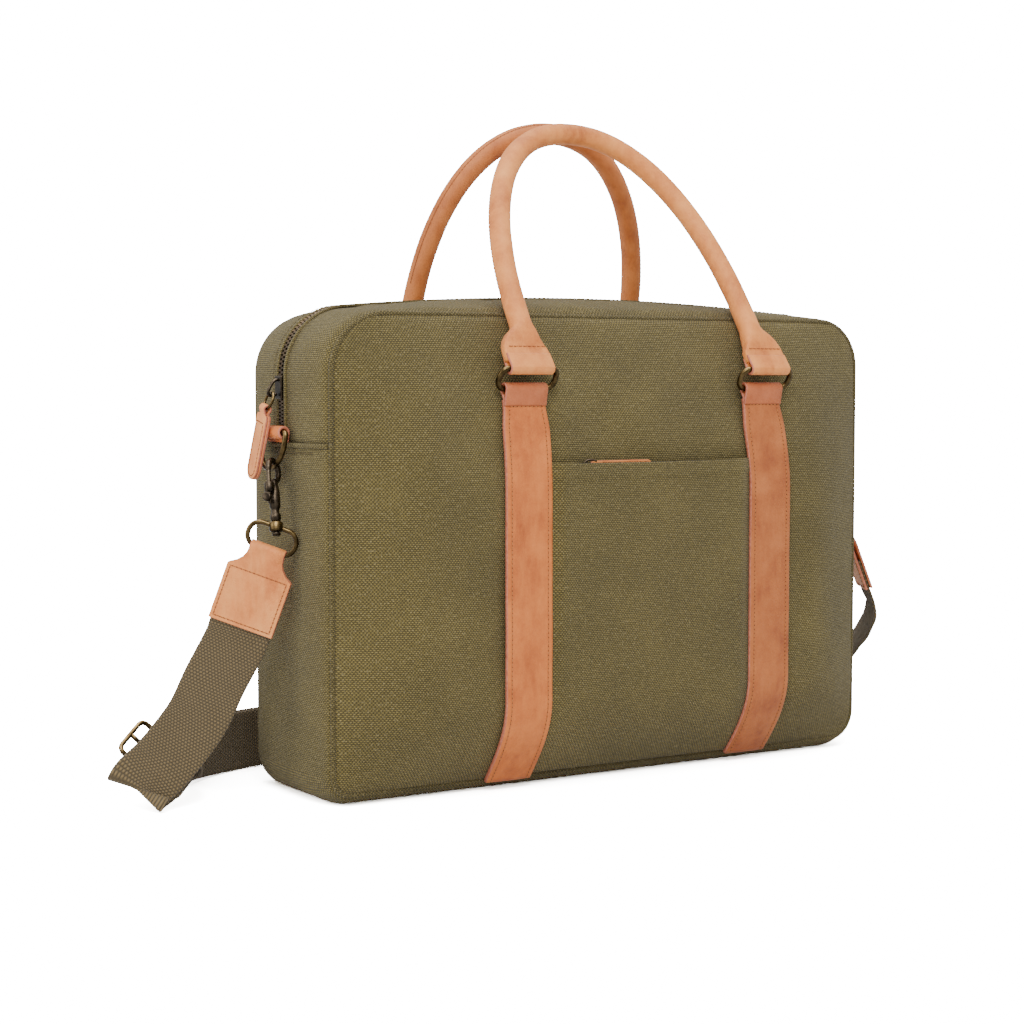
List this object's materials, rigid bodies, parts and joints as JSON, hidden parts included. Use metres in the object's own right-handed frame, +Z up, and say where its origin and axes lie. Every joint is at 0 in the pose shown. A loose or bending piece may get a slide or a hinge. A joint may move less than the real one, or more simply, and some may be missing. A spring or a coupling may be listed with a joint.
{
  "type": "satchel bag",
  "caption": "Zip-top canvas satchel with leather straps, rolled leather handles, a front slip pocket and a clip-on webbing shoulder strap.",
  "frame": {"origin": "middle of the footprint, on the ground the bag stands on, without the free shoulder strap", "axes": "+X to the bag's right as seen from the front, the front panel faces -Y, +Z up"},
  "size_m": [0.5846, 0.1998, 0.4244],
  "materials": {
    "canvas": "waxed cotton canvas",
    "leather": "nubuck with painted edges",
    "antique_brass": "antiqued",
    "dark_metal": "dark bronze plating",
    "zip_tape": "woven tape",
    "lining": "plain woven lining",
    "board": "stiffening board",
    "rope": "cotton rope",
    "webbing": "coarse woven webbing"
  },
  "bodies": {
    "body": {"lower_gusset": "canvas", "base_board": "board", "front_panel_lower": "canvas", "back_panel_lower": "canvas", "lining_lower": "lining", "laptop_sleeve": "lining", "front_pocket": "canvas", "pocket_zip_tape": "zip_tape", "pocket_zip_teeth": "antique_brass", "front_strap_lower_left": "leather", "front_strap_lower_right": "leather", "back_strap_lower_left": "leather", "back_strap_lower_right": "leather", "side_loop_left": "leather", "side_loop_right": "leather", "webbing_long": "webbing", "webbing_return": "webbing", "webbing_short": "webbing", "tri_glide": "antique_brass", "adjuster_ring": "antique_brass"},
    "front_mouth": {"front_panel_upper": "canvas", "top_gusset_front": "canvas", "zip_tape_front": "zip_tape", "zip_teeth_front": "antique_brass", "front_strap_upper_left": "leather", "front_strap_upper_right": "leather", "lining_front": "lining"},
    "back_mouth": {"back_panel_upper": "canvas", "top_gusset_back": "canvas", "zip_tape_back": "zip_tape", "zip_teeth_back": "antique_brass", "back_strap_upper_left": "leather", "back_strap_upper_right": "leather", "lining_back": "lining"},
    "front_ring_l": {"front_ring_left": "antique_brass"},
    "front_ring_r": {"front_ring_right": "antique_brass"},
    "back_ring_l": {"back_ring_left": "antique_brass"},
    "back_ring_r": {"back_ring_right": "antique_brass"},
    "front_handle_body": {"front_handle": "leather", "front_handle_rope": "rope"},
    "back_handle_body": {"back_handle": "leather", "back_handle_rope": "rope"},
    "slider": {"zip_slider": "dark_metal"},
    "slider_ring": {"zip_ring": "antique_brass"},
    "slider_pull": {"zip_pull": "leather"},
    "pocket_slider_body": {"pocket_slider": "dark_metal"},
    "pocket_pull_body": {"pocket_pull": "leather"},
    "strap_end_left": {"d_ring_left": "antique_brass", "swivel_ring_left": "antique_brass", "strap_tab_left": "leather"},
    "strap_end_right": {"d_ring_right": "antique_brass", "swivel_ring_right": "antique_brass", "strap_tab_right": "leather"},
    "snap_hook_left": {"hook_left": "dark_metal"},
    "snap_hook_right": {"hook_right": "dark_metal"},
    "snap_bolt_left": {"bolt_left": "antique_brass"},
    "snap_bolt_right": {"bolt_right": "antique_brass"}
  },
  "joints": [
    {"name": "front_mouth_open", "type": "hinge", "parent": "body", "child": "front_mouth", "pos_m": [0, -0.0832, 0.216], "axis": [1, 0, 0], "range_deg": [0, 20]},
    {"name": "back_mouth_open", "type": "hinge", "parent": "body", "child": "back_mouth", "pos_m": [0, 0.0832, 0.216], "axis": [-1, 0, 0], "range_deg": [0, 20]},
    {"name": "front_ring_left_swing", "type": "hinge", "parent": "front_mouth", "child": "front_ring_l", "pos_m": [-0.082, -0.07496, 0.248], "axis": [1, 0, 0], "range_deg": [0, 90]},
    {"name": "front_ring_right_swing", "type": "hinge", "parent": "front_mouth", "child": "front_ring_r", "pos_m": [0.1, -0.07496, 0.248], "axis": [1, 0, 0], "range_deg": [0, 90]},
    {"name": "back_ring_left_swing", "type": "hinge", "parent": "back_mouth", "child": "back_ring_l", "pos_m": [-0.082, 0.07496, 0.248], "axis": [-1, 0, 0], "range_deg": [0, 80]},
    {"name": "back_ring_right_swing", "type": "hinge", "parent": "back_mouth", "child": "back_ring_r", "pos_m": [0.1, 0.07496, 0.248], "axis": [-1, 0, 0], "range_deg": [0, 80]},
    {"name": "front_handle_swing", "type": "hinge", "parent": "front_ring_l", "child": "front_handle_body", "pos_m": [0.009, -0.08226, 0.26056], "axis": [1, 0, 0], "range_deg": [0, 90]},
    {"name": "back_handle_swing", "type": "hinge", "parent": "back_ring_l", "child": "back_handle_body", "pos_m": [0.009, 0.08226, 0.26056], "axis": [-1, 0, 0], "range_deg": [0, 85]},
    {"name": "zip_slider_travel", "type": "slide", "parent": "front_mouth", "child": "slider", "axis": [0, 0, 1], "range_m": [-0.006, 0.01]},
    {"name": "zip_ring_swing", "type": "hinge", "parent": "slider", "child": "slider_ring", "pos_m": [-0.2142, 0, 0.246], "axis": [0, 1, 0], "range_deg": [0, 25]},
    {"name": "zip_pull_swing", "type": "hinge", "parent": "slider_ring", "child": "slider_pull", "pos_m": [-0.21772, 0.00108, 0.23633], "axis": [0.0711, 0.9781, 0.1954], "range_deg": [0, 80]},
    {"name": "pocket_slider_travel", "type": "slide", "parent": "body", "child": "pocket_slider_body", "axis": [1, 0, 0], "range_m": [-0.0175, 0.07]},
    {"name": "pocket_pull_swing", "type": "hinge", "parent": "pocket_slider_body", "child": "pocket_pull_body", "pos_m": [-0.0355, -0.08167, 0.201], "axis": [0, -1, 0], "range_deg": [0, 60]},
    {"name": "strap_end_left_swing", "type": "hinge", "parent": "body", "child": "strap_end_left", "pos_m": [-0.2124, 0, 0.222], "axis": [0, 1, 0], "range_deg": [0, 25], "deforming": ["webbing_long"]},
    {"name": "strap_end_right_swing", "type": "hinge", "parent": "body", "child": "strap_end_right", "pos_m": [0.2124, 0, 0.222], "axis": [0, -1, 0], "range_deg": [0, 30], "deforming": ["webbing_short"]},
    {"name": "snap_hook_left_swivel", "type": "hinge", "parent": "strap_end_left", "child": "snap_hook_left", "pos_m": [-0.21605, -0.00547, 0.20128], "axis": [0.0994, 0.309, 0.9458], "range_deg": [-14, 10]},
    {"name": "snap_hook_right_swivel", "type": "hinge", "parent": "strap_end_right", "child": "snap_hook_right", "pos_m": [0.21846, 0, 0.20085], "axis": [-0.2756, 0, 0.9613], "range_deg": [-8, 14]},
    {"name": "snap_bolt_left_slide", "type": "slide", "parent": "snap_hook_left", "child": "snap_bolt_left", "axis": [-0.0994, -0.309, -0.9458], "range_m": [0, 0.006], "stiffness_N_per_m": 60},
    {"name": "snap_bolt_right_slide", "type": "slide", "parent": "snap_hook_right", "child": "snap_bolt_right", "axis": [0.2756, 0, -0.9613], "range_m": [0, 0.006], "stiffness_N_per_m": 60}
  ],
  "couplings": [
    {"joint": "front_ring_right_swing", "follows": "front_ring_left_swing", "ratio": 1},
    {"joint": "back_ring_right_swing", "follows": "back_ring_left_swing", "ratio": 1},
    {"joint": "zip_ring_swing", "follows": "strap_end_left_swing", "ratio": 1}
  ]
}
